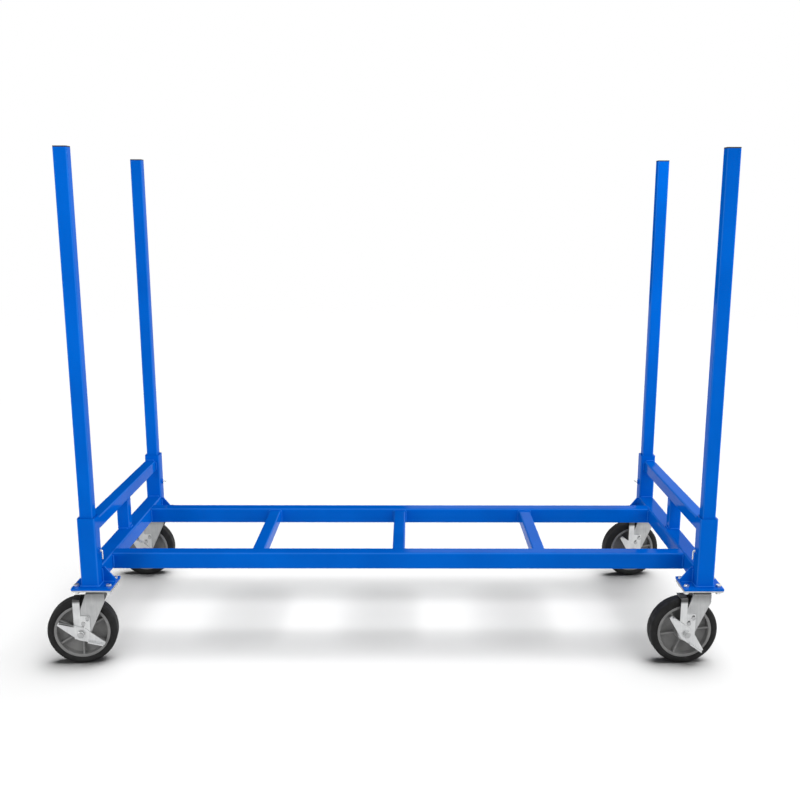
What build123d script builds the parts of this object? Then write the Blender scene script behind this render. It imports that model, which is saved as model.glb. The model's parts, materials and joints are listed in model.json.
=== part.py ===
from build123d import *
import math
import os

# Sizes are in millimetres. The floor is z = 0, the origin lies on the floor midway between the four posts,
# X runs along the cart and Y across it.

# Overall layout
post_spacing_x = 1778.0
post_spacing_y = 812.8
side_rail_spacing = 495.3
cross_bar_count = 3

# Square tube
frame_tube = 50.8
frame_wall = 3.2
frame_corner = 6.0
light_tube = 38.1
light_wall = 3.0
light_corner = 4.8
inner_corner_min = 0.6

# Posts, their sockets and their plugs
post_tube = 38.1
post_wall = 3.0
post_corner = 4.8
post_length = 1219.2
post_clearance = 1.6
socket_wall = 4.75
socket_corner = 6.0
socket_length = 203.2
cap_flange = 3.2
cap_depth = 16.0
cap_fit = 0.15

# End rails and struts
upper_rail_drop = 19.05

# Base plates, set in from the post centres with their casters, and corner gussets
base_plate_size = 114.3
base_plate_thickness = 6.35
plate_inset_x = 6.35
plate_inset_y = 12.7
plate_corner = 2.5
gusset_thickness = 6.35
gusset_height = 46.0
gusset_inset = 3.0
gusset_tip = 8.0

# Clamp screws with bent handles
clamp_height = 101.6
clamp_diameter = 9.5
clamp_tip_gap = 0.35
clamp_thread_fit = 0.08
clamp_nut_flats = 14.3
clamp_nut_height = 4.5
clamp_neck = 2.5
clamp_handle_diameter = 4.8
clamp_handle_length = 26.0
clamp_bend_radius = 4.0
clamp_handle_round = 1.6

# Wheels
wheel_diameter = 200.0
tread_width = 50.0
tread_shoulder = 9.0
tyre_depth = 20.0
rim_thickness = 8.5
rim_width = 48.0
web_thickness = 9.0
hub_diameter = 54.0
hub_width = 58.0
rib_count = 6
rib_thickness = 5.0
rib_width = 38.0
bearing_diameter = 34.0
bearing_width = 12.0
spacer_diameter = 22.0
spacer_fit = 0.4

# Axle bolts
axle_diameter = 12.7
axle_fit = 0.06
axle_hole_fit = 0.2
axle_flats = 19.05
axle_head_height = 8.0
axle_nut_height = 9.5
axle_stick_out = 2.5
sleeve_diameter = 19.0
sleeve_fit = 0.1

# Swivel forks
swivel_trail = 44.45
fork_gauge = 6.0
fork_bend_radius = 11.0
fork_hub_gap = 1.2
crown_length = 51.0
crown_clearance = 16.7
leg_shoulder = 30.0
leg_eye_radius = 24.0
kingpin_diameter = 16.0
kingpin_fit = 0.08
kingpin_flats = 27.0
kingpin_nut_height = 8.5
swivel_gap = 0.3

# Caster top plates and the ball races under them
caster_plate_width = 101.6
caster_plate_thickness = 6.35
race_diameter = 66.0
race_height = 5.65
ball_count = 20
ball_diameter = 6.0
ball_pitch_diameter = 48.0
ball_gap = 0.35

# Bolts through the base plates and the caster plates
bolt_edge_x = 11.1
bolt_edge_y = 17.45
bolt_diameter = 9.5
bolt_hole_fit = 0.45
bolt_flats = 14.3
bolt_head_height = 6.2
bolt_nut_height = 8.2
bolt_nut_fit = 0.1
bolt_stick_out = 2.0

# Hexagon heads and nuts: their corners are turned off at this angle from a circle inside the flats
hex_turned_angle = 30.0
hex_turned_share = 0.95

# Wheel brakes
brake_travel = 6.0
brake_gap = 0.3
brake_gauge = 3.2
shoe_thickness = 3.2
shoe_wrap = 4.0
shoe_bend = 4.5
shoe_reach = 46.0
strip_width = 20.0
strip_lead = 0.0
foot_right = 26.0
foot_bottom = 17.0
foot_margin = 3.0
foot_corner = 4.0
guide_near = 30.0
guide_near_offset = 7.0
guide_far = 50.0
guide_far_offset = 2.5
guide_diameter = 8.0
guide_fit = 0.1
guide_rivet_fit = 0.05
guide_head_diameter = 11.5
guide_head_height = 2.2
lever_gauge = 4.0
lever_hub_radius = 20.0
lever_half_length = 73.0
lever_tip_width = 11.0
lever_tip_corner = 2.5
lever_flange_depth = 11.0
lever_flange_gauge = 3.6
lever_flange_start = 24.0
lever_flange_inset = 0.5
released_tilt = 47.5
applied_tilt = 27.5

# Each corner: end of the cart, side of the cart, swivel angle, wheel roll and clamp handle angle at rest,
# and whether its brake is on
corners = {
    "front_left": (-1, -1, 8.0, 0.0, 0.0, True),
    "front_right": (1, -1, 4.0, -23.0, 0.0, False),
    "rear_left": (-1, 1, 2.0, 14.0, 76.0, False),
    "rear_right": (1, 1, 9.0, 39.0, 84.0, False),
}

# Heights that follow from the sizes above
wheel_radius = wheel_diameter / 2
crown_bottom = wheel_diameter + crown_clearance
crown_top = crown_bottom + fork_gauge
caster_plate_bottom = crown_top + swivel_gap + race_height
caster_plate_top = caster_plate_bottom + caster_plate_thickness
deck_base = caster_plate_top + base_plate_thickness
frame_top = deck_base + frame_tube
socket_top = deck_base + socket_length
upper_rail_top = socket_top - upper_rail_drop
upper_rail_bottom = upper_rail_top - light_tube
clamp_level = deck_base + clamp_height

# Widths and stations that follow
socket_outer = post_tube + 2 * (post_clearance + socket_wall)
half_x = post_spacing_x / 2
half_y = post_spacing_y / 2
caster_x = half_x - plate_inset_x
caster_y = half_y - plate_inset_y
rail_end = half_x - frame_tube / 2
end_rail_end = half_y - socket_outer / 2
upper_rail_x = half_x + socket_outer / 2 - light_tube / 2
side_rail_y = side_rail_spacing / 2
cross_bar_end = side_rail_y - frame_tube / 2
cross_bar_pitch = 2 * rail_end / (cross_bar_count + 1)
fork_inner = hub_width / 2 + fork_hub_gap
fork_outer = fork_inner + fork_gauge
arm_inner = fork_outer + brake_gap
arm_outer = arm_inner + brake_gauge
lever_inner = arm_outer + brake_gap
lever_outer = lever_inner + lever_gauge
nut_face = lever_outer + brake_gap
rim_radius = wheel_radius - tyre_depth
caster_plate_length = base_plate_size
bolt_pitch_x = caster_plate_length - 2 * bolt_edge_x
bolt_pitch_y = caster_plate_width - 2 * bolt_edge_y
race_level = crown_top + swivel_gap / 2

os.makedirs("parts", exist_ok=True)


def save(node, *solids):
    """Write the solids of one named piece to its own file."""
    export_step(Compound(list(solids)), f"parts/{node}.step")


def square_tube(axis, start, end, across, size, wall, corner):
    """Square tube along one axis between two stations, centred on the other two coordinates."""
    ring = RectangleRounded(size, size, corner)
    ring -= RectangleRounded(size - 2 * wall, size - 2 * wall, max(corner - wall, inner_corner_min))
    if axis == "x":
        plane = Plane((start, *across), x_dir=(0, 1, 0), z_dir=(1, 0, 0))
    elif axis == "y":
        plane = Plane((across[0], start, across[1]), x_dir=(1, 0, 0), z_dir=(0, 1, 0))
    else:
        plane = Plane((*across, start), x_dir=(1, 0, 0), z_dir=(0, 0, 1))
    return extrude(plane * ring, end - start)


def rod(diameter, start, end):
    """Round bar along local z."""
    return extrude(Pos(0, 0, start) * Circle(diameter / 2), end - start)


def hexagon(flats, start, end):
    """Hexagonal bar along local z with flats facing local y, its corners turned off at both ends."""
    corner = flats / math.sqrt(3)
    turned = hex_turned_share * flats / 2
    drop = (corner - turned) * math.tan(math.radians(hex_turned_angle))
    outline = Polyline(
        (0, start),
        (turned, start),
        (corner, start + drop),
        (corner, end - drop),
        (turned, end),
        (0, end),
        close=True,
    )
    bar = extrude(Pos(0, 0, start) * RegularPolygon(flats / 2, 6, major_radius=False), end - start)
    return bar & revolve(Plane.XZ * make_face(outline), Axis.Z)


def rounded_plate(length, width, bottom, thickness):
    """Flat plate with rounded corners, lying level and centred on the local origin."""
    return extrude(Pos(0, 0, bottom) * RectangleRounded(length, width, plate_corner), thickness)


def at_axle(piece):
    """Caster frame from the axle frame: x as is, local y up, local z out towards the lever side."""
    return Pos(-swivel_trail, 0, wheel_radius) * Rot(90, 0, 0) * piece


bolt_spots = [
    (end * bolt_pitch_x / 2, side * bolt_pitch_y / 2)
    for end in (-1, 1)
    for side in (-1, 1)
]


def drill_bolts(plate, bottom, top):
    """Plate with the bolt pattern drilled through it."""
    for x, y in bolt_spots:
        plate -= Pos(x, y, 0) * rod(bolt_diameter + 2 * bolt_hole_fit, bottom, top)
    return plate


# Side rails and the bars between them
for name, side in (("front", -1), ("rear", 1)):
    across = (side * side_rail_y, deck_base + frame_tube / 2)
    rail = square_tube("x", -rail_end, rail_end, across, frame_tube, frame_wall, frame_corner)
    save(f"side_rail_{name}", rail)

for index in range(cross_bar_count):
    across = (-rail_end + (index + 1) * cross_bar_pitch, deck_base + frame_tube / 2)
    bar = square_tube("y", -cross_bar_end, cross_bar_end, across, light_tube, light_wall, light_corner)
    save(f"cross_bar_{index + 1}", bar)

# End frames: a lower rail between the sockets, an upper rail and a strut between the two
struts = []
for name, end in (("left", -1), ("right", 1)):
    across = (end * half_x, deck_base + frame_tube / 2)
    lower = square_tube("y", -end_rail_end, end_rail_end, across, frame_tube, frame_wall, frame_corner)
    save(f"lower_end_rail_{name}", lower)
    across = (end * upper_rail_x, upper_rail_top - light_tube / 2)
    upper = square_tube("y", -end_rail_end, end_rail_end, across, light_tube, light_wall, light_corner)
    save(f"upper_end_rail_{name}", upper)
    across = (end * upper_rail_x, 0)
    strut = square_tube("z", frame_top, upper_rail_bottom, across, light_tube, light_wall, light_corner)
    struts.append(strut)
save("end_struts", *struts)


def socket(end):
    """Post socket about its own axis, drilled for the clamp screw in the wall facing the load bay."""
    body = square_tube("z", deck_base, socket_top, (0, 0), socket_outer, socket_wall, socket_corner)
    bore = rod(clamp_diameter + 2 * clamp_thread_fit, 0, socket_outer)
    return body - Pos(0, 0, clamp_level) * Rot(0, -end * 90, 0) * bore


def gusset(end, side):
    """Corner gusset about the socket axis, from the socket to the inner edge of the base plate."""
    foot = (base_plate_size - socket_outer) / 2 + plate_inset_x
    outline = Polyline(
        (0, 0),
        (foot, 0),
        (foot, gusset_tip),
        (gusset_tip, gusset_height),
        (0, gusset_height),
        close=True,
    )
    face = -side * (socket_outer / 2 - gusset_inset)
    plane = Plane((-end * socket_outer / 2, face, deck_base), x_dir=(-end, 0, 0), z_dir=(0, end, 0))
    return extrude(plane * make_face(outline), side * end * gusset_thickness)


def clamp_screw(end, lean):
    """Clamp screw about the socket axis: shank through the wall, handle hanging or leant towards the rear."""
    tip = post_tube / 2 + clamp_tip_gap
    neck_end = socket_outer / 2 + clamp_nut_height + clamp_neck
    bend_x = neck_end + clamp_handle_diameter / 2
    path = FilletPolyline(
        (neck_end - clamp_neck, 0, 0),
        (bend_x, 0, 0),
        (bend_x, 0, -clamp_handle_length),
        radius=clamp_bend_radius,
    )
    start = Plane(path @ 0, z_dir=path % 0)
    handle = sweep(start * Circle(clamp_handle_diameter / 2), path=path)
    shank = Rot(0, 90, 0) * rod(clamp_diameter, tip, neck_end - clamp_neck / 2)
    screw = shank + handle
    screw = fillet(screw.edges().group_by(Axis.Z)[0], clamp_handle_round)
    return Pos(0, 0, clamp_level) * Rot(0, 0, 90 + 90 * end) * Rot(-end * lean, 0, 0) * screw


def clamp_nut(end):
    """Nut welded round the clamp screw on the socket wall."""
    start = socket_outer / 2
    nut = hexagon(clamp_nut_flats, start, start + clamp_nut_height)
    nut -= rod(clamp_diameter + 2 * clamp_thread_fit, start, start + clamp_nut_height)
    return Pos(0, 0, clamp_level) * Rot(0, -end * 90, 0) * nut


def kingpin():
    """Kingpin with its nut under the fork crown, about the swivel axis."""
    nut_top = crown_bottom - swivel_gap
    pin = rod(kingpin_diameter, nut_top - kingpin_nut_height, caster_plate_top)
    return pin + hexagon(kingpin_flats, nut_top - kingpin_nut_height, nut_top)


def ball_groove():
    """Ring swept by the balls of the swivel with their running gap."""
    ring = Torus(ball_pitch_diameter / 2, ball_diameter / 2 + ball_gap)
    return Pos(0, 0, race_level) * ring


def caster_plate():
    """Caster top plate with its pressed ball race, about the swivel axis."""
    bottom = caster_plate_bottom
    plate = rounded_plate(caster_plate_length, caster_plate_width, bottom, caster_plate_thickness)
    plate += rod(race_diameter, bottom - race_height, bottom)
    plate -= rod(kingpin_diameter + 2 * kingpin_fit, crown_top, caster_plate_top)
    plate -= ball_groove()
    return drill_bolts(plate, bottom, caster_plate_top)


def swivel_balls():
    """Balls of one swivel race."""
    ball = Sphere(ball_diameter / 2)
    step = 360 / ball_count
    return [
        Rot(0, 0, index * step) * Pos(ball_pitch_diameter / 2, 0, race_level) * ball
        for index in range(ball_count)
    ]


def guide_spots():
    """Places of the two guide rivets in the axle frame: up along the leg, offset from its centre line."""
    rise = crown_top - leg_shoulder - wheel_radius
    lean = math.atan2(rise, swivel_trail)
    along = (math.cos(lean), math.sin(lean))
    return [
        (reach * along[0] - offset * along[1], reach * along[1] + offset * along[0])
        for reach, offset in ((guide_near, guide_near_offset), (guide_far, guide_far_offset))
    ]


def fork():
    """Pressed fork about the swivel axis: crown and two legs leaning back to the axle."""
    top = crown_top - wheel_radius
    crown_edge = Pos(swivel_trail, top - leg_shoulder / 2) * Rectangle(crown_length, leg_shoulder)
    outline = make_hull([*crown_edge.edges(), *Circle(leg_eye_radius).edges()])
    blank = extrude(Pos(0, 0, -fork_outer) * outline, 2 * fork_outer)
    depth = 2 * crown_top
    outer = Pos(top - depth / 2, 0) * RectangleRounded(depth, 2 * fork_outer, fork_bend_radius)
    inner_bend = max(fork_bend_radius - fork_gauge, inner_corner_min)
    inner = Pos(top - fork_gauge - depth / 2, 0) * RectangleRounded(depth, 2 * fork_inner, inner_bend)
    channel = extrude(Plane.YZ * (outer - inner), 2 * crown_top, both=True)
    body = blank & channel
    body -= rod(axle_diameter + 2 * axle_hole_fit, -fork_outer, fork_outer)
    for x, y in guide_spots():
        body -= Pos(x, y, 0) * rod(guide_diameter + 2 * guide_rivet_fit, fork_inner, fork_outer)
    body = at_axle(body)
    body -= rod(kingpin_diameter + 2 * kingpin_fit, crown_bottom, crown_top)
    return body - ball_groove()


def guide_rivets():
    """Shoulder rivets that guide the brake arm on the lever-side leg."""
    shank = rod(guide_diameter, fork_inner, arm_outer + brake_gap)
    head = rod(guide_head_diameter, arm_outer + brake_gap, arm_outer + brake_gap + guide_head_height)
    return [at_axle(Pos(x, y, 0) * (shank + head)) for x, y in guide_spots()]


def axle_set():
    """Axle bolt, the sleeve the lever turns on, and the nut."""
    bolt = rod(axle_diameter, -fork_outer, nut_face + axle_nut_height + axle_stick_out)
    bolt += hexagon(axle_flats, -fork_outer - axle_head_height, -fork_outer)
    sleeve = rod(sleeve_diameter, fork_outer, nut_face)
    sleeve -= rod(axle_diameter + 2 * sleeve_fit, fork_outer, nut_face)
    nut = hexagon(axle_flats, nut_face, nut_face + axle_nut_height)
    nut -= rod(axle_diameter + 2 * sleeve_fit, nut_face, nut_face + axle_nut_height)
    return [at_axle(piece) for piece in (bolt, sleeve, nut)]


def tyre():
    """Rubber tread moulded round the core."""
    section = Pos(rim_radius + tyre_depth / 2, 0) * Rectangle(tyre_depth, tread_width)
    section = fillet(section.vertices().sort_by(Axis.X)[-2:], tread_shoulder)
    return at_axle(revolve(Plane.XZ * section, Axis.Z))


def wheel_core(roll):
    """Wheel core: hub, web, rim and ribs, rolled by the given angle."""
    bore = rod(bearing_diameter, -hub_width / 2, hub_width / 2)
    hub = rod(hub_diameter, -hub_width / 2, hub_width / 2)
    web = rod(2 * rim_radius, -web_thickness / 2, web_thickness / 2)
    rim = rod(2 * rim_radius, -rim_width / 2, rim_width / 2)
    rim -= rod(2 * (rim_radius - rim_thickness), -rim_width / 2, rim_width / 2)
    core = hub + web + rim
    length = rim_radius - rim_thickness / 2
    rib = Pos(length / 2, 0, 0) * Box(length, rib_thickness, rib_width)
    for index in range(rib_count):
        core += Rot(0, 0, 90 + roll + index * 360 / rib_count) * rib
    return at_axle(core - bore)


def wheel_bearings():
    """Two bearings in the hub and the spacer between them."""
    axle = rod(axle_diameter + 2 * axle_fit, -hub_width / 2, hub_width / 2)
    edge = hub_width / 2 - bearing_width
    rings = [
        rod(bearing_diameter, -hub_width / 2, -edge) - axle,
        rod(bearing_diameter, edge, hub_width / 2) - axle,
    ]
    spacer = rod(spacer_diameter, -edge, edge) - rod(axle_diameter + 2 * spacer_fit, -edge, edge)
    return [at_axle(piece) for piece in (*rings, spacer)]


def brake_lever(tilt):
    """Two-winged brake lever on the axle sleeve, its wings cut square, tipped by the given angle."""
    tip_x = lever_half_length - lever_tip_corner
    tip_y = lever_tip_width / 2 - lever_tip_corner
    spots = [(end * tip_x, side * tip_y) for end in (-1, 1) for side in (-1, 1)]
    rounds = [Circle(lever_hub_radius), *(Pos(*spot) * Circle(lever_tip_corner) for spot in spots)]
    outline = make_hull([edge for ring in rounds for edge in ring.edges()])
    plate = extrude(Pos(0, 0, lever_inner) * outline, lever_gauge)
    plate -= rod(sleeve_diameter + 2 * axle_fit, lever_inner, lever_outer)
    reach = math.hypot(tip_x, tip_y)
    narrowing = math.asin((lever_hub_radius - lever_tip_corner) / reach)
    taper = narrowing - math.atan2(tip_y, tip_x)
    span = reach * math.cos(narrowing) - lever_flange_start
    level = lever_flange_inset + lever_flange_gauge / 2 - lever_hub_radius
    strip = Pos(lever_flange_start + span / 2, level) * Rectangle(span, lever_flange_gauge)
    bent = Rot(0, 0, math.degrees(taper)) * strip
    flange = extrude(Pos(0, 0, lever_outer) * bent, lever_flange_depth)
    body = plate + flange + Rot(0, 0, 180) * flange
    return at_axle(Rot(0, 0, -tilt) * body)


def brake_arm(lift):
    """Brake arm on the lever-side leg with its shoe over the tread, raised by the given lift."""
    left = -strip_lead - strip_width
    top = wheel_radius + brake_gap + shoe_thickness
    guides = guide_spots()
    foot_top = guides[-1][1] + guide_diameter / 2 + foot_margin
    strip = Pos(left + strip_width / 2, (top - foot_bottom) / 2) * Rectangle(strip_width, top + foot_bottom)
    foot_width = foot_right - left
    foot_height = foot_top + foot_bottom
    foot = Pos(left + foot_width / 2, foot_top - foot_height / 2)
    foot *= RectangleRounded(foot_width, foot_height, foot_corner)
    slot_length = brake_travel + guide_diameter + 2 * guide_fit
    slot = SlotOverall(slot_length, guide_diameter + 2 * guide_fit, rotation=90)
    outline = strip + foot
    for x, y in guides:
        outline -= Pos(x, y - brake_travel / 2) * slot
    sleeve_slot = sleeve_diameter + 2 * brake_gap
    outline -= Pos(0, -brake_travel / 2) * SlotOverall(brake_travel + sleeve_slot, sleeve_slot, rotation=90)
    arm = extrude(Pos(0, 0, arm_inner) * outline, brake_gauge)
    depth = shoe_thickness + shoe_wrap
    shoe = Pos(left + strip_width / 2, top - depth / 2, arm_outer - shoe_reach / 2)
    shoe *= Box(strip_width, depth, shoe_reach)
    arm += shoe - rod(wheel_diameter + 2 * brake_gap, arm_outer - shoe_reach, arm_inner)
    bend = arm.edges().filter_by(Axis.X).group_by(Axis.Y)[-1].sort_by(Axis.Z)[-1]
    arm = fillet(bend, shoe_bend)
    return at_axle(Pos(0, lift, 0) * arm)


def caster_bolt():
    """Bolt down through the base plate and the caster plate."""
    end = caster_plate_bottom - bolt_nut_height - bolt_stick_out
    return rod(bolt_diameter, end, deck_base) + hexagon(bolt_flats, deck_base, deck_base + bolt_head_height)


def caster_nut():
    """Nut under the caster plate."""
    bottom = caster_plate_bottom - bolt_nut_height
    nut = hexagon(bolt_flats, bottom, caster_plate_bottom)
    return nut - rod(bolt_diameter + 2 * bolt_nut_fit, bottom, caster_plate_bottom)


def post():
    """Post about its own axis, standing on the base plate inside its socket."""
    return square_tube("z", deck_base, deck_base + post_length, (0, 0), post_tube, post_wall, post_corner)


def post_cap():
    """Plug in the top of a post."""
    top = deck_base + post_length
    bore = post_tube - 2 * (post_wall + cap_fit)
    flange = extrude(Pos(0, 0, top) * RectangleRounded(post_tube, post_tube, post_corner), cap_flange)
    corner = max(post_corner - post_wall, inner_corner_min)
    return flange + extrude(Pos(0, 0, top - cap_depth) * RectangleRounded(bore, bore, corner), cap_depth)


# Corners: fixed pieces are gathered by kind, moving pieces are written corner by corner
base_plate = rounded_plate(base_plate_size, base_plate_size, caster_plate_top, base_plate_thickness)
base_plate = drill_bolts(base_plate, caster_plate_top, deck_base)
fixed = {
    "post_sockets": [],
    "clamp_nuts": [],
    "gussets": [],
    "base_plates": [],
    "caster_plates": [],
    "kingpins": [],
    "swivel_balls": [],
    "caster_bolts": [],
    "caster_nuts": [],
}
for name, (end, side, swivel, roll, lean, braked) in corners.items():
    place = Pos(end * half_x, side * half_y, 0)
    seat = Pos(end * caster_x, side * caster_y, 0)
    turned = seat * Rot(0, 0, swivel)
    fixed["post_sockets"].append(place * socket(end))
    fixed["clamp_nuts"].append(place * clamp_nut(end))
    fixed["gussets"].append(place * gusset(end, side))
    fixed["base_plates"].append(seat * base_plate)
    fixed["caster_plates"].append(seat * caster_plate())
    fixed["kingpins"].append(seat * kingpin())
    fixed["swivel_balls"].extend(seat * ball for ball in swivel_balls())
    for x, y in bolt_spots:
        fixed["caster_bolts"].append(seat * Pos(x, y, 0) * caster_bolt())
        fixed["caster_nuts"].append(seat * Pos(x, y, 0) * caster_nut())
    save(f"post_{name}", place * post())
    save(f"post_cap_{name}", place * post_cap())
    save(f"clamp_screw_{name}", place * clamp_screw(end, lean))
    save(f"fork_{name}", turned * fork(), *(turned * rivet for rivet in guide_rivets()))
    save(f"axle_{name}", *(turned * piece for piece in axle_set()))
    save(f"tyre_{name}", turned * tyre())
    save(f"wheel_core_{name}", turned * wheel_core(roll))
    save(f"wheel_bearings_{name}", *(turned * piece for piece in wheel_bearings()))
    save(f"brake_lever_{name}", turned * brake_lever(applied_tilt if braked else released_tilt))
    save(f"brake_arm_{name}", turned * brake_arm(0.0 if braked else brake_travel))

for node, solids in fixed.items():
    save(node, *solids)
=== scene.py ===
import json
import math

import bpy
import numpy as np
from mathutils import Matrix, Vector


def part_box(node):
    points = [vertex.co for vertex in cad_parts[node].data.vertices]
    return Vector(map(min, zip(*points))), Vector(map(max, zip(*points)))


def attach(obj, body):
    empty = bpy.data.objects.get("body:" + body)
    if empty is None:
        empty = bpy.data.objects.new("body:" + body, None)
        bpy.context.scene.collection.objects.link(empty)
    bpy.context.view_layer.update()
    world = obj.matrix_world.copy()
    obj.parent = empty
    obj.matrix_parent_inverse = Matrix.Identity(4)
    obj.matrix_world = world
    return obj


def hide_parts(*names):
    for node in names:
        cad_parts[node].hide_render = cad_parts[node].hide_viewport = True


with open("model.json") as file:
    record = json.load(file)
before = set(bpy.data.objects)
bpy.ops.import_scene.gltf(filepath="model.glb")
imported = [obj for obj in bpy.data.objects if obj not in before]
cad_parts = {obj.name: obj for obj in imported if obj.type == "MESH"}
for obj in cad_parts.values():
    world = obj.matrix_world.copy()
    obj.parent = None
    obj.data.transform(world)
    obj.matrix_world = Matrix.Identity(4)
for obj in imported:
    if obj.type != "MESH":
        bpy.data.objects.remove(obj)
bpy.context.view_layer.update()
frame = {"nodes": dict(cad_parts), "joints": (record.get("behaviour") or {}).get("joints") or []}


# Frame tubes: side rails, cross bars, end rails, struts, sockets and posts, with their plates and gussets.
# They are square steel tube with rounded corners, welded up and then powder coated.
# The coat is a thick blue film, glossy, with a faint orange-peel skin and slight clouds of depth.
nodes = frame["nodes"]
corners = ["front_left", "front_right", "rear_left", "rear_right"]
CLOUD_DETAIL, GRAIN_DETAIL = 4.0, 2.0
DRIFT_LOW, DRIFT_HIGH = 0.34, 0.66
BUMP_DEPTH = 0.001


def linear(code):
    """Linear RGBA of an sRGB hex colour."""
    srgb = np.array([int(code[i : i + 2], 16) for i in (1, 3, 5)]) / 255
    rgb = np.where(srgb <= 0.04045, srgb / 12.92, ((srgb + 0.055) / 1.055) ** 2.4)
    return (*rgb.tolist(), 1.0)


def add_node(tree, kind, inputs, **settings):
    """One shader node with its settings; each input takes a plain value or another node's output."""
    made = tree.nodes.new(kind)
    for key, value in settings.items():
        setattr(made, key, value)
    for key, value in inputs.items():
        if isinstance(value, bpy.types.NodeSocket):
            tree.links.new(value, made.inputs[key])
        else:
            made.inputs[key].default_value = value
    return made


def per_metre(millimetres):
    """Texture scale that gives features of this size, for coordinates in metres."""
    return 1000.0 / millimetres


def mottled(
    name, dark, light, cloud_mm, rough, grain_mm, relief,
    metal=0.0, specular=0.5, drawn=(1.0, 1.0, 1.0), streak=0.1,
):
    """Material whose colour and roughness drift between two values in clouds, over a fine raised grain.

    The grain is drawn out along the axes with a small factor, and streak is its share in the drift.
    """
    finish = bpy.data.materials.new(name)
    finish.use_nodes = True
    tree = finish.node_tree
    shader = tree.nodes["Principled BSDF"].inputs
    place = add_node(tree, "ShaderNodeTexCoord", {}).outputs["Object"]
    clouds = {"Vector": place, "Scale": per_metre(cloud_mm), "Detail": CLOUD_DETAIL}
    cloud = add_node(tree, "ShaderNodeTexNoise", clouds).outputs["Fac"]
    along = add_node(tree, "ShaderNodeMapping", {"Vector": place, "Scale": drawn}).outputs["Vector"]
    grains = {"Vector": along, "Scale": per_metre(grain_mm), "Detail": GRAIN_DETAIL}
    grain = add_node(tree, "ShaderNodeTexNoise", grains).outputs["Fac"]
    drift = add_node(tree, "ShaderNodeMix", {0: streak, 2: cloud, 3: grain}).outputs[0]
    tint = add_node(tree, "ShaderNodeValToRGB", {"Fac": drift})
    for stop, position, colour in zip(tint.color_ramp.elements, (DRIFT_LOW, DRIFT_HIGH), (dark, light)):
        stop.position = position
        stop.color = linear(colour)
    clouded = {"Value": drift, "From Min": DRIFT_LOW, "From Max": DRIFT_HIGH}
    gloss = add_node(tree, "ShaderNodeMapRange", {**clouded, "To Min": rough[1], "To Max": rough[0]})
    skin = add_node(tree, "ShaderNodeBump", {"Height": grain, "Strength": relief, "Distance": BUMP_DEPTH})
    tree.links.new(tint.outputs["Color"], shader["Base Color"])
    tree.links.new(gloss.outputs["Result"], shader["Roughness"])
    tree.links.new(skin.outputs["Normal"], shader["Normal"])
    shader["Metallic"].default_value = metal
    shader["Specular IOR Level"].default_value = specular
    return finish


def lay_over(finish, colour, mask):
    """Lays another colour over a finish's own, by a mask from 0 to 1."""
    tree = finish.node_tree
    target = tree.nodes["Principled BSDF"].inputs["Base Color"]
    under = target.links[0].from_socket
    over = add_node(tree, "ShaderNodeMix", {0: mask, 6: under, 7: linear(colour)}, data_type="RGBA")
    tree.links.new(over.outputs[2], target)


def dress(finish, *names):
    """Gives CAD nodes a finish."""
    for name in names:
        nodes[name].data.materials.clear()
        nodes[name].data.materials.append(finish)


# The gloss is a thin clear skin on the film, so flat faces stay deep in colour.
COAT_GLOSS = 0.4
COAT_ROUGHNESS = 0.08
COAT_INDEX = 1.15
powder_coat = mottled(
    "powder_coat_gloss_blue", "#005AC0", "#0063CE",
    cloud_mm=240.0, rough=(0.3, 0.36), grain_mm=4.0, relief=0.03, specular=0.0,
)
tree = powder_coat.node_tree
film = tree.nodes["Principled BSDF"].inputs
film["Coat Weight"].default_value = COAT_GLOSS
film["Coat Roughness"].default_value = COAT_ROUGHNESS
film["Coat IOR"].default_value = COAT_INDEX

# The film draws thin over the corners of the tubes and on the welds, and shows paler there; the paler colour
# is also a painted highlight along every corner and weld.
# A corner is where the direction of the surface is far from all three axes of the frame.
FLAT_COSINE, CORNER_COSINE = 0.98, 0.75
CORNER_THIN_AND_HIGHLIGHT_SHARE = 0.15
facing = add_node(tree, "ShaderNodeTexCoord", {}).outputs["Normal"]
facing = add_node(tree, "ShaderNodeVectorMath", {0: facing}, operation="ABSOLUTE").outputs["Vector"]
facing = add_node(tree, "ShaderNodeSeparateXYZ", {"Vector": facing}).outputs
level = add_node(tree, "ShaderNodeMath", {0: facing["X"], 1: facing["Y"]}, operation="MAXIMUM").outputs[0]
squarest = add_node(tree, "ShaderNodeMath", {0: level, 1: facing["Z"]}, operation="MAXIMUM").outputs[0]
thin_film_and_highlight = {"Value": squarest, "From Min": FLAT_COSINE, "From Max": CORNER_COSINE, "To Max": CORNER_THIN_AND_HIGHLIGHT_SHARE}
# Painted highlight: paler blue on the corners and welds, partly thin film and partly standing in for light
# caught there.
lay_over(powder_coat, "#5AA8F2", add_node(tree, "ShaderNodeMapRange", thin_film_and_highlight).outputs["Result"])

bars = ["cross_bar_1", "cross_bar_2", "cross_bar_3"]
side_rails = ["side_rail_front", "side_rail_rear"]
lower_rails = ["lower_end_rail_left", "lower_end_rail_right"]
upper_rails = ["upper_end_rail_left", "upper_end_rail_right"]
posts = [f"post_{corner}" for corner in corners]
dress(powder_coat, *bars, *side_rails, *lower_rails, *upper_rails, *posts)
dress(powder_coat, "end_struts", "post_sockets", "gussets", "base_plates", "clamp_nuts")


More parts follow.
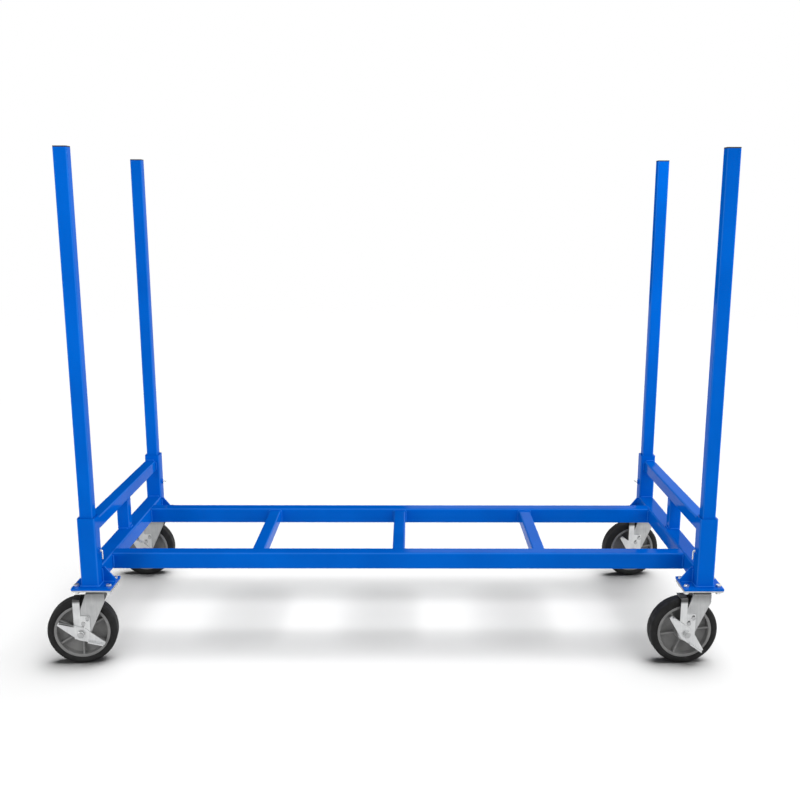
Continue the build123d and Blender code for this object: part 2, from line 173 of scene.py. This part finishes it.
# Deck welds: the cross bars on the side rails and the side rails on the end frames.
# Each joint is a hand-laid bead of overlapping weld puddles, about as thick as the tube wall.
# The beads lie under the same coat as the tubes.
WELD_PITCH = 0.0034
WELD_STEP = 0.0009
WELD_SIDES = 12
STRAIGHT_LEAST, RING_LEAST = 8, 16
VALLEY_SHARE = 0.86
PUDDLE_SHARE = 0.16
PUDDLE_POWER = 0.7
EDGE_LAG = 0.35
BLUNT_END = 0.02
FILLET_RADIUS = 0.0036
GROOVE_RADIUS = 0.0046
FILLET_SEAT = 0.3
GROOVE_SEAT = 0.78
TUBE_CORNER = 0.006
LIGHT_CORNER = 0.0048
SHARP_DEGREES = 40.0
X, Y, Z = np.eye(3)


def span(name):
    """Lowest and highest corner of a CAD node."""
    low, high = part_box(name)
    return np.array(low), np.array(high)


def ring_shell(rings, closed=False):
    """Skin over rings of points that run round the direction from ring to ring, right-handed.

    The last ring joins the first where closed; otherwise each end gets a fan about the ring's mean point.
    """
    rows, columns = rings.shape[:2]
    row, column = np.meshgrid(np.arange(rows if closed else rows - 1), np.arange(columns), indexing="ij")
    ahead = (row + 1) % rows * columns
    beside = (column + 1) % columns
    row = row * columns
    quads = np.stack([row + column, row + beside, ahead + beside, ahead + column], axis=-1).reshape(-1, 4)
    points = rings.reshape(-1, 3)
    if closed:
        return points, quads, np.empty((0, 3), int)
    edge = np.arange(columns)
    beside = (edge + 1) % columns
    last = (rows - 1) * columns
    pole = np.full(columns, rows * columns)
    start = np.stack([pole, beside, edge], axis=1)
    stop = np.stack([pole + 1, last + edge, last + beside], axis=1)
    points = np.concatenate([points, rings[[0, -1]].mean(axis=1)])
    return points, quads, np.concatenate([start, stop])


def make_piece(name, shells, body, finish):
    """One smooth-shaded object from closed shells, riding on a body and taking its finish from a slot."""
    starts = np.cumsum([0, *(len(points) for points, _, _ in shells)])
    points = np.concatenate([points for points, _, _ in shells])
    quads = np.concatenate([start + quads for start, (_, quads, _) in zip(starts, shells)])
    fans = np.concatenate([start + fans for start, (_, _, fans) in zip(starts, shells)])
    mesh = bpy.data.meshes.new(name)
    mesh.from_pydata(points.tolist(), [], quads.tolist() + fans.tolist())
    mesh.polygons.foreach_set("use_smooth", np.ones(len(mesh.polygons), bool))
    mesh.set_sharp_from_angle(angle=math.radians(SHARP_DEGREES))
    mesh.materials.append(finish)
    piece = bpy.data.objects.new(name, mesh)
    bpy.context.scene.collection.objects.link(piece)
    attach(piece, body)
    return piece


def bead(path, out, up, radius, seat, closed):
    """Weld bead: a circle carried along a path, swelling once per puddle.

    The centre stands off the path by seat times the radius along both face directions. The radius follows
    |sin(pi p)| with p the distance in puddles, later at the bead's edges than on its crown, and an open end
    closes as a quarter circle.
    """
    step = np.linalg.norm(np.diff(path, axis=0, append=path[:1] if closed else path[-1:]), axis=1)
    length = step.sum()
    along = np.cumsum(step) - step
    pitch = length / max(1, round(length / WELD_PITCH))
    turn = np.linspace(0, 2 * np.pi, WELD_SIDES, endpoint=False)
    lag = EDGE_LAG * (1 - np.cos(turn - np.pi / 4))
    puddle = np.abs(np.sin(np.pi * (along[:, None] / pitch + lag)))
    swell = radius * (VALLEY_SHARE + PUDDLE_SHARE * puddle**PUDDLE_POWER)
    if not closed:
        inset = np.clip(np.minimum(along, length - along) / radius, BLUNT_END, 1)
        swell *= np.sqrt(1 - (1 - inset) ** 2)[:, None]
    centre = path + seat * radius * (out + up)
    ring = out[:, None, :] * np.cos(turn)[:, None] + up[:, None, :] * np.sin(turn)[:, None]
    return ring_shell(centre[:, None, :] + swell[:, :, None] * ring, closed)


def straight_bead(start, end, out, up, radius=FILLET_RADIUS, seat=FILLET_SEAT):
    """Bead along a straight corner between two faces whose outward directions are out and up."""
    start, end = np.array(start), np.array(end)
    count = max(STRAIGHT_LEAST, round(np.linalg.norm(end - start) / WELD_STEP))
    path = start + (end - start) * np.linspace(0, 1, count)[:, None]
    if np.dot(np.cross(out, up), end - start) < 0:
        out, up = up, out
    return bead(path, np.tile(out, (count, 1)), np.tile(up, (count, 1)), radius, seat, False)


def ring_bead(centre, first, second, half, corner, radius=FILLET_RADIUS):
    """Bead round a square tube that stands on a face along first x second.

    Each quarter is a straight of twice (half - corner) and a quarter circle of the corner's radius, and it is
    the quarter before it turned by 90 degrees.
    """
    straight = 2 * (half - corner)
    quarter = straight + corner * np.pi / 2
    count = max(RING_LEAST, round(4 * quarter / WELD_STEP))
    distance = np.linspace(0, 4 * quarter, count, endpoint=False)
    side = np.floor(distance / quarter)
    along = distance - side * quarter
    arc = np.clip((along - straight) / corner, 0, None)
    turn = side * np.pi / 2
    flat_x = half - corner + corner * np.cos(arc)
    flat_y = np.minimum(along, straight) - straight / 2 + corner * np.sin(arc)
    path_x = flat_x * np.cos(turn) - flat_y * np.sin(turn)
    path_y = flat_x * np.sin(turn) + flat_y * np.cos(turn)
    path = np.stack([path_x, path_y], axis=1)
    normal = np.stack([np.cos(turn + arc), np.sin(turn + arc)], axis=1)
    axes = np.array([first, second])
    away = np.tile(np.cross(first, second), (count, 1))
    return bead(np.array(centre) + path @ axes, away, normal @ axes, radius, FILLET_SEAT, True)


welds = []
for bar in bars:
    low, high = span(bar)
    middle = (low + high) / 2
    half = (high[0] - low[0]) / 2
    for end, sign in ((low[1], 1), (high[1], -1)):
        welds.append(ring_bead([middle[0], end, middle[2]], Z, sign * X, half, LIGHT_CORNER))
for rail in side_rails:
    low, high = span(rail)
    for end, sign in ((low[0], 1), (high[0], -1)):
        for side, facing in ((low[1], -Y), (high[1], Y)):
            bottom = [end, side, low[2] + TUBE_CORNER]
            top = [end, side, high[2] - TUBE_CORNER]
            welds.append(straight_bead(bottom, top, facing, sign * X))
        for level, facing in ((low[2], Z), (high[2], -Z)):
            near = [end, low[1] + TUBE_CORNER, level]
            far = [end, high[1] - TUBE_CORNER, level]
            welds.append(straight_bead(near, far, facing, -sign * X, GROOVE_RADIUS, GROOVE_SEAT))
make_piece("deck_welds", welds, "frame", powder_coat)


# End frame welds: the end rails between the sockets and the strut between the two rails.
# Fillets run where a tube meets a flat face, and a groove weld fills the notch where two tubes lie flush.
welds = []
strut_low, strut_high = span("end_struts")
for lower, upper in zip(lower_rails, upper_rails):
    low, high = span(lower)
    outward = np.sign(low[0])
    for end, sign in ((low[1], 1), (high[1], -1)):
        left = [low[0] + TUBE_CORNER, end, high[2]]
        right = [high[0] - TUBE_CORNER, end, high[2]]
        welds.append(straight_bead(left, right, Z, sign * Y))
        for side, facing in ((low[0], X), (high[0], -X)):
            bottom = [side, end, low[2] + TUBE_CORNER]
            top = [side, end, high[2] - TUBE_CORNER]
            welds.append(straight_bead(bottom, top, facing, -sign * Y, GROOVE_RADIUS, GROOVE_SEAT))
    lower_top = high[2]
    low, high = span(upper)
    inner, outer = (high[0], low[0]) if outward < 0 else (low[0], high[0])
    for end, sign in ((low[1], 1), (high[1], -1)):
        for level, facing in ((low[2], -Z), (high[2], Z)):
            left = [low[0] + LIGHT_CORNER, end, level]
            right = [high[0] - LIGHT_CORNER, end, level]
            welds.append(straight_bead(left, right, facing, sign * Y))
        bottom, top = low[2] + LIGHT_CORNER, high[2] - LIGHT_CORNER
        welds.append(straight_bead([inner, end, bottom], [inner, end, top], -outward * X, sign * Y))
        groove = [outer, end, bottom], [outer, end, top]
        welds.append(straight_bead(*groove, -outward * X, -sign * Y, GROOVE_RADIUS, GROOVE_SEAT))
    near, far = strut_low[1] + LIGHT_CORNER, strut_high[1] - LIGHT_CORNER
    for level, facing in ((lower_top, Z), (low[2], -Z)):
        for side, aside in ((strut_low[1], -Y), (strut_high[1], Y)):
            left = [low[0] + LIGHT_CORNER, side, level]
            right = [high[0] - LIGHT_CORNER, side, level]
            welds.append(straight_bead(left, right, aside, facing))
        groove = [outer, near, level], [outer, far, level]
        welds.append(straight_bead(*groove, -outward * X, -facing, GROOVE_RADIUS, GROOVE_SEAT))
    welds.append(straight_bead([inner, near, lower_top], [inner, far, lower_top], -outward * X, Z))
    groove = [inner, near, low[2]], [inner, far, low[2]]
    welds.append(straight_bead(*groove, outward * X, Z, GROOVE_RADIUS, GROOVE_SEAT))
make_piece("end_frame_welds", welds, "frame", powder_coat)


# Corner welds: each socket and its gusset on the base plate, and the clamp nut on the socket wall.
# The socket's foot is welded all round, the gusset on both faces, and the nut with a small ring.
NUT_WELD_RADIUS = 0.0016
NUT_ROUNDING = 0.9
GUSSET_THICKNESS = 0.00635
joints = {joint["name"]: joint for joint in frame["joints"]}
socket_reach = span("post_sockets")[1][0]
plate_reach, _, plate_top = span("base_plates")[1]
gusset_high = span("gussets")[1]
nut_low, nut_high = span("clamp_nuts")
nut_half = (nut_high[2] - nut_low[2]) / 2
welds = []
for corner in corners:
    low, high = span(f"post_{corner}")
    axis = (low + high) / 2
    inward = -np.sign(axis[0])
    half = socket_reach - abs(axis[0])
    welds.append(ring_bead([axis[0], axis[1], plate_top], X, Y, half, TUBE_CORNER))
    wall = axis[0] + inward * half
    caster = joints[f"swivel_{corner}"]["pos_m"][0]
    tip = caster + inward * (plate_reach - abs(caster))
    side = np.sign(axis[1])
    outer = side * gusset_high[1]
    for face, facing in ((outer, side * Y), (outer - side * GUSSET_THICKNESS, -side * Y)):
        foot = [wall, face, plate_top], [tip - inward * FILLET_RADIUS, face, plate_top]
        rise = [wall, face, plate_top], [wall, face, gusset_high[2] - FILLET_RADIUS]
        welds.append(straight_bead(*foot, facing, Z))
        welds.append(straight_bead(*rise, facing, inward * X))
    first, second = (Y, Z) if inward > 0 else (Z, Y)
    nut = [wall, axis[1], (nut_low[2] + nut_high[2]) / 2]
    welds.append(ring_bead(nut, first, second, nut_half, NUT_ROUNDING * nut_half, NUT_WELD_RADIUS))
make_piece("corner_welds", welds, "frame", powder_coat)


# Post caps: plugs pressed into the post tops.
# They are moulded black plastic with a fine matt grain from the mould.
cap_plastic = mottled(
    "moulded_plastic_black", "#121213", "#1C1C1E",
    cloud_mm=30.0, rough=(0.42, 0.55), grain_mm=0.9, relief=0.08, specular=0.3,
)
dress(cap_plastic, *(f"post_cap_{corner}" for corner in corners))


# Clamp screws and caster bolts: cold-headed steel bar, zinc plated.
# The plating is a thin bright film over drawn bar, so it glints, with duller patches where it ran thin.
plated_bar = mottled(
    "zinc_plated_bar", "#C6C8C9", "#E2E3E3",
    cloud_mm=9.0, rough=(0.24, 0.42), grain_mm=0.7, relief=0.05, metal=1.0,
)
dress(plated_bar, *(f"clamp_screw_{corner}" for corner in corners), "caster_bolts", "caster_nuts")


# Caster plates: hot-rolled steel plate, sheared to size and zinc plated.
# The plating keeps the plate's broad mottling.
# The sheared edges show as a bright line under the blue plates.
plated_plate = mottled(
    "zinc_plated_plate", "#A6A8AA", "#C0C2C3",
    cloud_mm=20.0, rough=(0.3, 0.46), grain_mm=2.0, relief=0.06, metal=1.0,
)
dress(plated_plate, "caster_plates")


# Forks and axles: heavy steel, pressed or headed, zinc plated and dull.
# Rolling leaves faint upright lines under the plating, and the crown is darkened with painted shade from the
# plate above it.
# The rolling lines are drawn coarser than real ones, so that they show.
ROLLED = (1.0, 1.0, 0.05)
# Painted shade: the heights between which the fork darkens towards the plate above.
CROWN_SHADE_START, CROWN_SHADE_END = 0.190, 0.226
CROWN_SHADE_SHARE = 0.8


def by_height(finish, start, end, most):
    """Mask that rises with height from 0 at the start to its most at the end, in metres."""
    tree = finish.node_tree
    place = add_node(tree, "ShaderNodeTexCoord", {}).outputs["Object"]
    height = add_node(tree, "ShaderNodeSeparateXYZ", {"Vector": place}).outputs["Z"]
    rise = {"Value": height, "From Min": start, "From Max": end, "To Max": most}
    return add_node(tree, "ShaderNodeMapRange", rise).outputs["Result"]


plated_pressing = mottled(
    "zinc_plated_pressing", "#A3A4A5", "#B6B7B7",
    cloud_mm=34.0, rough=(0.34, 0.48), grain_mm=3.0, relief=0.05, metal=1.0, drawn=ROLLED, streak=0.4,
)
# Painted shade: the fork goes dark towards its crown, under the caster plate.
lay_over(plated_pressing, "#3E3E3D", by_height(plated_pressing, CROWN_SHADE_START, CROWN_SHADE_END, CROWN_SHADE_SHARE))
dress(plated_pressing, *(f"fork_{corner}" for corner in corners))
dress(plated_pressing, *(f"axle_{corner}" for corner in corners))


# Brake arms and levers: lighter steel strip, bright zinc plated.
# It is smooth, with soft even reflections, and the shoe end is darkened with painted shade, where its fold
# faces up under the plate.
# Painted shade: the heights between which the brake arm goes dark at the shoe's fold.
SHOE_SHADE_START, SHOE_SHADE_END = 0.191, 0.198
SHOE_SHADE_SHARE = 0.9
plated_strip = mottled(
    "zinc_plated_strip", "#BFC0C1", "#D6D7D7",
    cloud_mm=30.0, rough=(0.3, 0.42), grain_mm=3.0, relief=0.04, metal=1.0, drawn=ROLLED, streak=0.4,
)
# Painted shade: the top of the brake arm goes dark above the shoe's fold.
lay_over(plated_strip, "#2A2A2A", by_height(plated_strip, SHOE_SHADE_START, SHOE_SHADE_END, SHOE_SHADE_SHARE))
dress(plated_strip, *(f"brake_arm_{corner}" for corner in corners))
dress(plated_strip, *(f"brake_lever_{corner}" for corner in corners))


# Wheel bearings and swivels: turned steel, oiled.
# The oil film keeps them grey and half glossy, darker than the plated pieces round them.
oiled_steel = mottled(
    "turned_steel_oiled", "#6E6F70", "#8B8C8C",
    cloud_mm=6.0, rough=(0.28, 0.44), grain_mm=0.6, relief=0.05, metal=1.0,
)
dress(oiled_steel, *(f"wheel_bearings_{corner}" for corner in corners), "kingpins", "swivel_balls")


# Wheel cores: moulded grey polyolefin with a hub, a thin web, a raised rim and six drafted ribs.
# Every inside corner has the fillet and every wall the draft that a moulding needs.
# The plastic comes out of the mould satin, with faint clouds in its grey and a fine even grain.
WHEEL_TURNS = 160
ARC_STEPS = 6
CORE_ROLL = {"front_left": 0.0, "front_right": -23.0, "rear_left": 14.0, "rear_right": 39.0}
core_plastic = mottled(
    "moulded_polyolefin_grey", "#737373", "#7F7F7E",
    cloud_mm=26.0, rough=(0.42, 0.55), grain_mm=1.2, relief=0.06, specular=0.3,
)


def rounded(points):
    """Outline in a plane from (x, y, radius) corners, each turned into an arc of that radius.

    The arc starts and ends at radius / tan(half the corner's angle) from the corner and is a circle about the
    point at radius / sin(half the angle) along the bisector.
    """
    places = np.array([point[:2] for point in points])
    radii = np.array([point[2] for point in points])
    back = np.roll(places, 1, axis=0) - places
    ahead = np.roll(places, -1, axis=0) - places
    back /= np.linalg.norm(back, axis=1)[:, None]
    ahead /= np.linalg.norm(ahead, axis=1)[:, None]
    half = np.arccos(np.clip((back * ahead).sum(axis=1), -1, 1)) / 2
    bisector = back + ahead
    bisector /= np.linalg.norm(bisector, axis=1)[:, None]
    centre = places + bisector * (radii / np.sin(half))[:, None]
    start = places + back * (radii / np.tan(half))[:, None] - centre
    stop = places + ahead * (radii / np.tan(half))[:, None] - centre
    share = np.linspace(0, 1, ARC_STEPS)[None, :, None]
    angle = (np.pi - 2 * half)[:, None, None]
    weight = np.sin((1 - share) * angle) * start[:, None, :] + np.sin(share * angle) * stop[:, None, :]
    return (centre[:, None, :] + weight / np.sin(angle)).reshape(-1, 2)


def mirrored(points):
    """Closed outline from its upper half: the (radius, height) corners, then the same below, backwards."""
    return [*points, *((radius, -height, turn) for radius, height, turn in reversed(points))]


def wheel_frame(corner):
    """Wheel centre and its forward, upward and outward directions, from the wheel's own joint."""
    spin = joints[f"wheel_spin_{corner}"]
    inward = np.array(spin["axis"], float)
    return np.array(spin["pos_m"], float), np.array([inward[1], -inward[0], 0.0]), Z, -inward


def lathe(corner, outline):
    """Outline of (radius, height) points carried round the axle: x = r cos t, y = r sin t, z = height."""
    centre, forward, upward, outward = wheel_frame(corner)
    turn = np.linspace(0, 2 * np.pi, WHEEL_TURNS, endpoint=False)
    spoke = np.cos(turn)[:, None] * forward + np.sin(turn)[:, None] * upward
    rings = centre + spoke[:, None, :] * outline[None, :, :1] + outward * outline[None, :, 1:]
    return ring_shell(rings[:, ::-1], closed=True)


# The outline's corners are (radius, height above the middle plane, rounding), from the bore to the rim.
HUB_BORE, HUB_RADIUS, HUB_HALF, HUB_DRAFT = 0.0172, 0.0268, 0.0290, 0.0014
WEB_HALF, WEB_FILLET = 0.0045, 0.0045
RIM_INSIDE, CORE_RADIUS, RIM_HALF, RIM_DRAFT = 0.0718, 0.0800, 0.0240, 0.0012
core_half_outline = [
    (HUB_BORE, HUB_HALF, 0.0008),
    (HUB_RADIUS, HUB_HALF, 0.0016),
    (HUB_RADIUS + HUB_DRAFT, WEB_HALF, WEB_FILLET),
    (RIM_INSIDE - RIM_DRAFT, WEB_HALF, WEB_FILLET),
    (RIM_INSIDE, RIM_HALF, 0.0014),
    (CORE_RADIUS, RIM_HALF, 0.0012),
]
core_outline = rounded(mirrored(core_half_outline))

# A rib is a six-sided section, widest at the mould's parting plane, carried from the hub to the rim.
# Its crest follows a parabola, lowest between the two.
RIB_COUNT = 6
RIB_RINGS = 9
RIB_START, RIB_LOWEST, RIB_END = 0.0240, 0.0500, 0.0745
RIB_BOW = 0.0260
RIB_HALF, RIB_ROOT = 0.0026, 0.0034
RIB_CREST, RIB_DIP = 0.0185, 0.0025
RIB_ROUND, RIB_SEAM = 0.0012, 0.0001
rib_reach = np.linspace(RIB_START, RIB_END, RIB_RINGS)
rib_crest = RIB_CREST + RIB_DIP * ((rib_reach - RIB_LOWEST) / RIB_BOW) ** 2
rib_section = rounded(
    [
        (RIB_ROOT, 0.0, RIB_SEAM),
        (RIB_HALF, RIB_CREST, RIB_ROUND),
        (-RIB_HALF, RIB_CREST, RIB_ROUND),
        (-RIB_ROOT, 0.0, RIB_SEAM),
        (-RIB_HALF, -RIB_CREST, RIB_ROUND),
        (RIB_HALF, -RIB_CREST, RIB_ROUND),
    ]
)
rib_height = rib_section[None, :, 1] * (rib_crest / RIB_CREST)[:, None]
for corner in corners:
    centre, forward, upward, outward = wheel_frame(corner)
    shells = [lathe(corner, core_outline)]
    for index in range(RIB_COUNT):
        angle = math.radians(90 + CORE_ROLL[corner] + index * 360 / RIB_COUNT)
        spoke = math.cos(angle) * forward + math.sin(angle) * upward
        across = math.cos(angle) * upward - math.sin(angle) * forward
        rings = centre + rib_reach[:, None, None] * spoke + rib_section[None, :, :1] * across
        shells.append(ring_shell(rings + rib_height[:, :, None] * outward))
    piece = make_piece(f"core_moulding_{corner}", shells, f"wheel_{corner}", core_plastic)
    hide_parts(f"wheel_core_{corner}")


# Tyres: solid black rubber moulded onto the cores, dull and dark with a faint dusty bloom.
# The side has a shallow step above the rim, and the shoulders are round.
# A fine mould line runs round the middle of the tread.
TYRE_RADIUS, TYRE_HALF = 0.1000, 0.0250
SEAT_RADIUS, SEAT_HALF = 0.0798, 0.0236
STEP_RADIUS, STEP_RISE = 0.0836, 0.0010
SHOULDER_RADIUS = 0.0090
MOULD_LINE = 0.0002
rubber = mottled(
    "moulded_rubber_black", "#191919", "#252525",
    cloud_mm=22.0, rough=(0.55, 0.7), grain_mm=0.8, relief=0.12, specular=0.15,
)
tyre_half_outline = [
    (SEAT_RADIUS, SEAT_HALF, 0.0004),
    (STEP_RADIUS, TYRE_HALF - STEP_RISE, 0.0010),
    (STEP_RADIUS + STEP_RISE, TYRE_HALF, 0.0008),
    (TYRE_RADIUS - MOULD_LINE, TYRE_HALF, SHOULDER_RADIUS),
    (TYRE_RADIUS - MOULD_LINE, 2 * MOULD_LINE, 0.0002),
    (TYRE_RADIUS, MOULD_LINE, 0.0001),
]
tyre_outline = rounded(mirrored(tyre_half_outline))
for corner in corners:
    shells = [lathe(corner, tyre_outline)]
    piece = make_piece(f"tyre_moulding_{corner}", shells, f"wheel_{corner}", rubber)
    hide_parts(f"tyre_{corner}")


# Floor and surroundings: a white paper sweep in a white room.
# The eye, and metal that mirrors it, see the paper and the room as white; only the soft shadows stay on it.
# The paper fades out with distance, so that no edge shows between it and the room.
FLOOR_HALF = 14.0
FADE_START, FADE_END = 3.0, 12.0

# The paper has a strong lamp of its own, so its colour is divided by the light that falls on it.
# One value is for the eye, and a greyer one for what the paper throws back at the cart.
FLOOR_LIT = 12.5
FLOOR_SEEN = 1.03 / FLOOR_LIT
FLOOR_BOUNCE = 0.72 / FLOOR_LIT
ROOM_LIGHT = 0.76
ROOM_TOP_LIGHT = 0.46


def background_rays(tree):
    """1 for the rays that show the background: straight to the camera, mirrored or through glass."""
    rays = add_node(tree, "ShaderNodeLightPath", {}).outputs
    straight = {0: rays["Is Camera Ray"], 1: rays["Is Glossy Ray"]}
    seen = add_node(tree, "ShaderNodeMath", straight, operation="MAXIMUM").outputs["Value"]
    through = {0: seen, 1: rays["Is Transmission Ray"]}
    return add_node(tree, "ShaderNodeMath", through, operation="MAXIMUM").outputs["Value"]


def stage_sheet(name, points, finish):
    """Flat four-cornered sheet that belongs to the studio."""
    mesh = bpy.data.meshes.new(name)
    mesh.from_pydata(points, [], [(0, 1, 2, 3)])
    mesh.materials.append(finish)
    sheet = bpy.data.objects.new(name, mesh)
    bpy.context.scene.collection.objects.link(sheet)
    return sheet


paper = bpy.data.materials.new("paper_sweep_white")
paper.use_nodes = True
tree = paper.node_tree
seen = background_rays(tree)
white = add_node(tree, "ShaderNodeMapRange", {"Value": seen, "To Min": FLOOR_BOUNCE, "To Max": FLOOR_SEEN})
matt = add_node(tree, "ShaderNodeBsdfDiffuse", {"Color": white.outputs["Result"]}).outputs["BSDF"]
place = add_node(tree, "ShaderNodeTexCoord", {}).outputs["Object"]
distance = add_node(tree, "ShaderNodeVectorMath", {0: place}, operation="LENGTH").outputs["Value"]
fade = add_node(tree, "ShaderNodeMapRange", {"Value": distance, "From Min": FADE_START, "From Max": FADE_END})
clear = add_node(tree, "ShaderNodeBsdfTransparent", {}).outputs["BSDF"]
faded = add_node(tree, "ShaderNodeMixShader", {0: fade.outputs["Result"], 1: matt, 2: clear})
tree.links.new(faded.outputs["Shader"], tree.nodes["Material Output"].inputs["Surface"])
floor_corners = [(-1, -1, 0), (1, -1, 0), (1, 1, 0), (-1, 1, 0)]
floor = stage_sheet("floor", [tuple(FLOOR_HALF * side for side in spot) for spot in floor_corners], paper)

world = bpy.data.worlds.new("studio")
bpy.context.scene.world = world
world.use_nodes = True
tree = world.node_tree
seen = background_rays(tree)
height = add_node(tree, "ShaderNodeTexCoord", {}).outputs["Generated"]
height = add_node(tree, "ShaderNodeSeparateXYZ", {"Vector": height}).outputs["Z"]
room = add_node(tree, "ShaderNodeMapRange", {"Value": height, "To Min": ROOM_LIGHT, "To Max": ROOM_TOP_LIGHT})
level = add_node(tree, "ShaderNodeMapRange", {"Value": seen, "To Min": room.outputs["Result"], "To Max": 1.0})
tree.nodes["Background"].inputs["Color"].default_value = linear("#FFFFFF")
tree.links.new(level.outputs["Result"], tree.nodes["Background"].inputs["Strength"])


# Soft boxes: one on either side of the camera, one far out to the right for the faces that look that way,
# and a small one over the right end. All are plain white.
STEEP_AIM = 0.9


def put_lamp(lamp, place, target):
    """Lamp object at a place, aimed at a target."""
    head = bpy.data.objects.new(lamp.name, lamp)
    bpy.context.scene.collection.objects.link(head)
    back = np.array(place, float) - np.array(target, float)
    back /= np.linalg.norm(back)
    side = np.cross(Y if abs(back[2]) > STEEP_AIM else Z, back)
    side /= np.linalg.norm(side)
    turn = np.stack([side, np.cross(back, side), back], axis=1)
    head.matrix_world = Matrix.Translation(place) @ Matrix(turn.tolist()).to_4x4()
    return head


def soft_box(name, place, target, width, height, radiance):
    """Area light of a given brightness, aimed from a place at a target."""
    lamp = bpy.data.lights.new(name, "AREA")
    lamp.shape = "RECTANGLE"
    lamp.size = width
    lamp.size_y = height
    lamp.energy = radiance * math.pi * width * height
    put_lamp(lamp, place, target)


soft_box("left_box", (-2.4, -2.6, 1.2), (-0.9, 0.0, 0.9), width=0.8, height=1.6, radiance=6.0)
soft_box("right_box", (2.2, -3.8, 3.2), (0.0, 0.0, 0.8), width=1.6, height=2.2, radiance=4.6)
soft_box("side_box", (6.0, -0.9, 2.8), (-0.9, 0.0, 1.0), width=2.4, height=2.4, radiance=10.5)
soft_box("top_box", (0.9, 0.0, 2.2), (0.9, 0.0, 0.0), width=0.9, height=0.6, radiance=5.0)


# Flag: a black cotton cloth hung far behind, to the left, matt and dark in its weave.
# It shows only in the gloss of the faces that mirror it, which keeps them deep in colour, and shades nothing.
FLAG_BACK, FLAG_WIDTH, FLAG_HEIGHT = 12.0, 14.0, 9.0
flag_cloth = mottled(
    "woven_cotton_black", "#0B0B0B", "#141414",
    cloud_mm=60.0, rough=(0.85, 0.95), grain_mm=3.0, relief=0.1, specular=0.1,
)
flag_corners = [(-FLAG_WIDTH, 0.0), (0.0, 0.0), (0.0, FLAG_HEIGHT), (-FLAG_WIDTH, FLAG_HEIGHT)]
flag = stage_sheet("flag", [(across, FLAG_BACK, up) for across, up in flag_corners], flag_cloth)
flag.visible_camera = False
flag.visible_diffuse = False
flag.visible_shadow = False


# Floor lamp: a broad lamp that hangs high, a little to the right and behind.
# It lights the paper alone, where it draws the soft shadows of the deck and the wheels.
FLOOR_LAMP_SHARE = 12.0
FLOOR_LAMP_WIDTH = math.radians(52)
FLOOR_LAMP_PLACE = (0.8, 0.4, 4.0)
lamp = bpy.data.lights.new("floor_lamp", "SUN")
lamp.energy = math.pi * FLOOR_LAMP_SHARE
lamp.angle = FLOOR_LAMP_WIDTH
paper_only = bpy.data.collections.new("paper_only")
paper_only.objects.link(floor)
put_lamp(lamp, FLOOR_LAMP_PLACE, (0.0, 0.0, 0.0)).light_linking.receiver_collection = paper_only


# Camera: in front of the cart, a little below the post tops and looking slightly down.
# Lens, place and shift come from a fit of the frame's edges to the picture's.
# Pixels are those of a square frame of 800 by 800.
FOCAL_PIXELS = 1077.67
IMAGE_PIXELS = 800.0
SENSOR_MM = 36.0
CENTRE_PIXELS = (413.30, 469.37)
CAMERA_PLACE = (0.03325, -3.37982, 1.30331)
PITCH, YAW, ROLL = -0.23712, -0.00359, -0.00198
lens = bpy.data.cameras.new("camera")
lens.sensor_width = SENSOR_MM
lens.lens = FOCAL_PIXELS * SENSOR_MM / IMAGE_PIXELS
lens.shift_x = 0.5 - CENTRE_PIXELS[0] / IMAGE_PIXELS
lens.shift_y = CENTRE_PIXELS[1] / IMAGE_PIXELS - 0.5
camera = bpy.data.objects.new("camera", lens)
bpy.context.scene.collection.objects.link(camera)
aim = Matrix.Rotation(YAW, 3, "Z") @ Matrix.Rotation(PITCH, 3, "X") @ Matrix.Rotation(ROLL, 3, "Y")
upright = Matrix.Rotation(math.radians(90), 3, "X")
camera.matrix_world = Matrix.Translation(CAMERA_PLACE) @ (aim @ upright).to_4x4()
bpy.context.scene.camera = camera
bpy.context.scene.view_settings.view_transform = "Standard"
